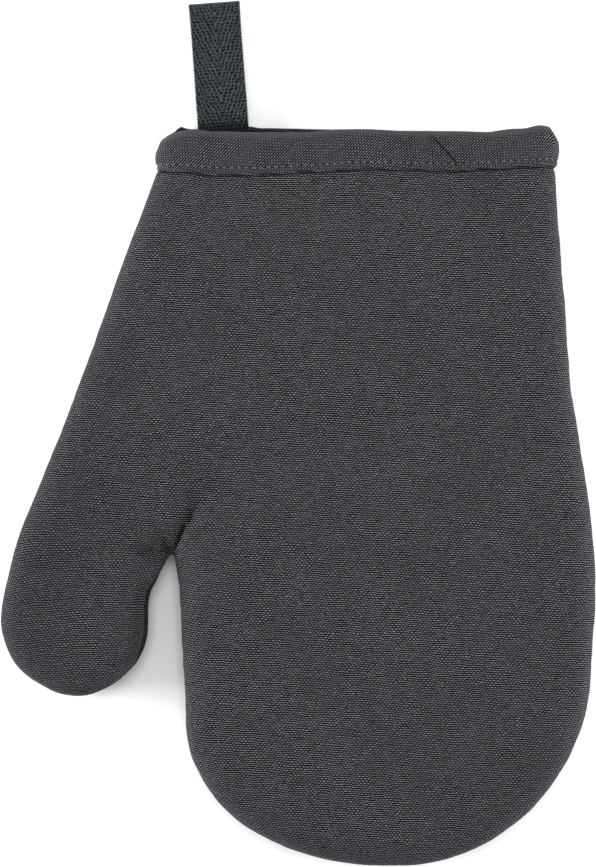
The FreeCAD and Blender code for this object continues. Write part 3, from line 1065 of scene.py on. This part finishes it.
def woven(name, pitch_u, pitch_v, turn, dark, light, depth=WEAVE_DEPTH, hem=None):
    """Plain-woven cloth with shade painted in its folds and, where hem is given, a painted shadow line along
    that line across it.
    """
    material, tree, shader = start_material(name, 0.9, CLOTH_SHEEN)
    u, v = cloth_axes(tree, turn)
    tone, height = weave_tone(tree, u, v, pitch_u, pitch_v)
    worn = noise_of(tree, joined(tree, u, v, 2.0), 0.022, 2.0) * 0.5 - 0.2
    tone = tone.towards(0.15, worn.most(0.0))
    thumb = (u * -0.02 - 1.0).held()
    tone = tone + (tone * -0.24 + 0.012) * thumb
    # Painted shade in the creases and round the rolled seam.
    tone = tone * (painted_shade_of(tree) * -0.85 + 1.0)
    # Where hem is given, a painted shadow line along it.
    if hem is not None:
        straight = cloth_axes(tree)[1]
        tone = tone * (bell(straight - hem, 0.4) * -0.75 + 1.0)
    tint(tree, shader, tone, dark, light)
    emboss(tree, shader, height, depth)
    return material


def bias_weave(join, stitch_line, fold_line):
    """The same cloth cut at 45 degrees, with its slanting join and the needle holes of the stitching."""
    material, tree, shader = start_material("dark_plain_weave_on_the_bias", 0.9, CLOTH_SHEEN)
    u, v = cloth_axes(tree, -45)
    tone, height = weave_tone(tree, u, v, WARP_PITCH, WEFT_PITCH, uneven=0.6, contrast=(0.65, 0.34), gap=6.9)
    flattened = (wobble(tree, u, v, 2.0, 0.06, 2.0) * 2.0).least(0.4).most(0.0)
    tone = tone.towards(0.20, flattened)
    along, down = cloth_axes(tree)
    hole = ((along / STITCH_PITCH).fract() - 0.5) * STITCH_PITCH
    holes = bell(hole, 0.36) * bell(down - stitch_line, 0.34)
    # Painted shade along the strip's lower folded edge.
    folded_edge_shade = bell(down - 0.6, 0.8)
    up = down - stitch_line
    ends = (up / 1.2).held() * ((up * -1.0 + 10.4) / 1.5).held()
    seam = bell(along - join - up * JOIN_SLOPE, 0.4) * ends
    # Lighter along the folded rim: partly a painted highlight standing in for sheen on its roll, partly
    # rubbed fuzz.
    tone = tone.towards(0.34, bell(down - fold_line + 0.5, 1.3) * 0.6)
    # The needle holes and the lower fold get painted shade; the join line is darkened as a dark joint.
    tone = tone * (holes * -0.7 + 1.0) * (folded_edge_shade * -0.45 + 1.0) * (seam * -0.9 + 1.0)
    # Painted shade inside the mouth.
    tone = tone * (painted_shade_of(tree) * -1.0 + 1.0)
    tint(tree, shader, tone, CLOTH_DARK, CLOTH_LIGHT)
    emboss(tree, shader, height - holes * 0.8, WEAVE_DEPTH)
    return material


def herringbone(name, dark, light):
    """Woven tape: rows of pits between strands that slant down to its middle line."""
    material, tree, shader = start_material(name, 0.85, 0.25)
    u, v = cloth_axes(tree)
    bend = wobble(tree, u, v, 0.0, 0.30, 2.0)
    slip = wobble(tree, v, u, 6.0, 0.35, 2.0)
    shake_u = wobble(tree, u, v, 12.0, 0.8)
    shake_v = wobble(tree, u, v, 15.0, 0.8)
    column = (u.abs() + v * 0.40) / 1.62 + bend * 1.1 + shake_u * 0.5
    row = v / SELVEDGE_PITCH + slip + shake_v * 0.5
    depth = random_of(tree, joined(tree, column.floor(), row.floor(), u.above(0.0) * 3.0)) * 0.5 + 0.75
    pit = column.centred().hump().power(1.7) * row.centred().hump() * depth
    blotch = noise_of(tree, joined(tree, u, v, 4.0), 0.12, 3.0)
    fibres = noise_of(tree, joined(tree, u, v, 8.0), 1.9, 2.0, 0.7)
    height = (pit * -1.25 + 1.0).most(0.0)
    tone = height * (blotch * 0.5 + 0.75) * ((fibres - 0.5) * 7.5 + 1.0).most(0.1)
    # Painted shadow near the tape's ends, inside the mouth.
    tint(tree, shader, tone * (painted_shade_of(tree) * -0.85 + 1.0), dark, light)
    emboss(tree, shader, height, 0.3, strength=0.8)
    return material


def fibrous(name, dark, light, scale, roughness=0.9):
    """Felted or spun fibre with no weave: wadding and thread."""
    material, tree, shader = start_material(name, roughness, 0.2)
    u, v = cloth_axes(tree)
    strands = noise_of(tree, joined(tree, u, v), scale, 5.0, 0.7)
    tint(tree, shader, strands, dark, light)
    emboss(tree, shader, strands, 0.2)
    return material


def plain_floor():
    """A pale, faintly mottled studio surface."""
    material, tree, shader = start_material("studio_paper", 0.9, 0.0)
    place = node_of(tree, "ShaderNodeTexCoord")
    mottle = noise_of(tree, place.outputs["Object"], 3.0, 3.0)
    tint(tree, shader, mottle, (0.86, 0.86, 0.86), (0.89, 0.89, 0.89))
    return material


# ------------------------------------------------------------------ assembly
# hem: a painted shadow line just below the binding's lower edge.
outer_cloth = woven("dark_plain_weave", WARP_PITCH, WEFT_PITCH, CLOTH_TURN, CLOTH_DARK, CLOTH_LIGHT,
                    hem=BAND_Y - 0.7)
lining_cloth = woven("thin_lining_weave", LINING_PITCH, LINING_PITCH, 0, LINING_DARK, LINING_LIGHT,
                     depth=0.1)
tape_cloth = herringbone("dark_herringbone_tape", (0.003, 0.004, 0.0045), (0.041, 0.050, 0.0515))
wadding_felt = fibrous("pale_wadding", (0.42, 0.40, 0.36), (0.68, 0.66, 0.61), 1.2)
thread_fibre = fibrous("dark_thread", (0.05, 0.052, 0.056), (0.15, 0.155, 0.165), 3.0, 0.7)
CLOTHS = {"panel": outer_cloth, "wadding": wadding_felt, "lining": lining_cloth}

for layer_name, layer_object in padded_layers().items():
    layer_object.data.materials.append(CLOTHS[layer_name.split("_")[1]])

binding, strip_size, join, stitch_line, fold_line = cuff_binding()
binding.data.materials.append(bias_weave(join, stitch_line, fold_line))
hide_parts("cuff_binding")
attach(binding, "hand")

tape, tape_length = hanging_tape()
tape.data.materials.append(tape_cloth)
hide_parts("hanging_loop", "loop_sewn_ends")
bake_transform(tape)

for sewn in [cuff_stitching(), tape_tack(), *seam_threads()]:
    sewn.data.materials.append(thread_fibre)


# ------------------------------------------------------------------ floor, light and camera
def area_light(name, place, size, power):
    """A square soft light at a place in metres, aimed at the origin."""
    data = bpy.data.lights.new(name, "AREA")
    data.size = size
    data.energy = power
    light = bpy.data.objects.new(name, data)
    light.location = place
    light.rotation_euler = (-Vector(place)).to_track_quat("-Z", "Y").to_euler()
    bpy.context.scene.collection.objects.link(light)


FLOOR = 12.0  # half the floor's side, in metres
floor_mesh = bpy.data.meshes.new("floor")
floor_corners = [(-FLOOR, -FLOOR, 0), (FLOOR, -FLOOR, 0), (FLOOR, FLOOR, 0), (-FLOOR, FLOOR, 0)]
floor_mesh.from_pydata(floor_corners, [], [(0, 1, 2, 3)])
floor = bpy.data.objects.new("floor", floor_mesh)
floor.data.materials.append(plain_floor())
bpy.context.scene.collection.objects.link(floor)

world = bpy.data.worlds.new("studio")
world.use_nodes = True
world.node_tree.nodes["Background"].inputs["Color"].default_value = (0.97, 0.98, 1.0, 1)
world.node_tree.nodes["Background"].inputs["Strength"].default_value = 0.5
bpy.context.scene.world = world
area_light("softbox_above", (0.0, 0.30, 1.45), size=0.7, power=10)
area_light("softbox_right", (1.15, 0.05, 0.32), size=0.6, power=26)
area_light("softbox_left", (-1.15, 0.05, 0.30), size=0.6, power=32)

LENS = 100.0
SENSOR = 36.0
FRAME_HEIGHT = 0.3303  # metres of the mitt's plane that the picture's long side shows
camera_data = bpy.data.cameras.new("overhead")
camera_data.lens = LENS
camera_data.sensor_width = SENSOR
camera = bpy.data.objects.new("overhead", camera_data)
camera.location = (0.0, 0.0, SEAM_Z * MM + FRAME_HEIGHT * LENS / SENSOR)
bpy.context.scene.collection.objects.link(camera)
bpy.context.scene.camera = camera
bpy.context.scene.view_settings.view_transform = "Standard"
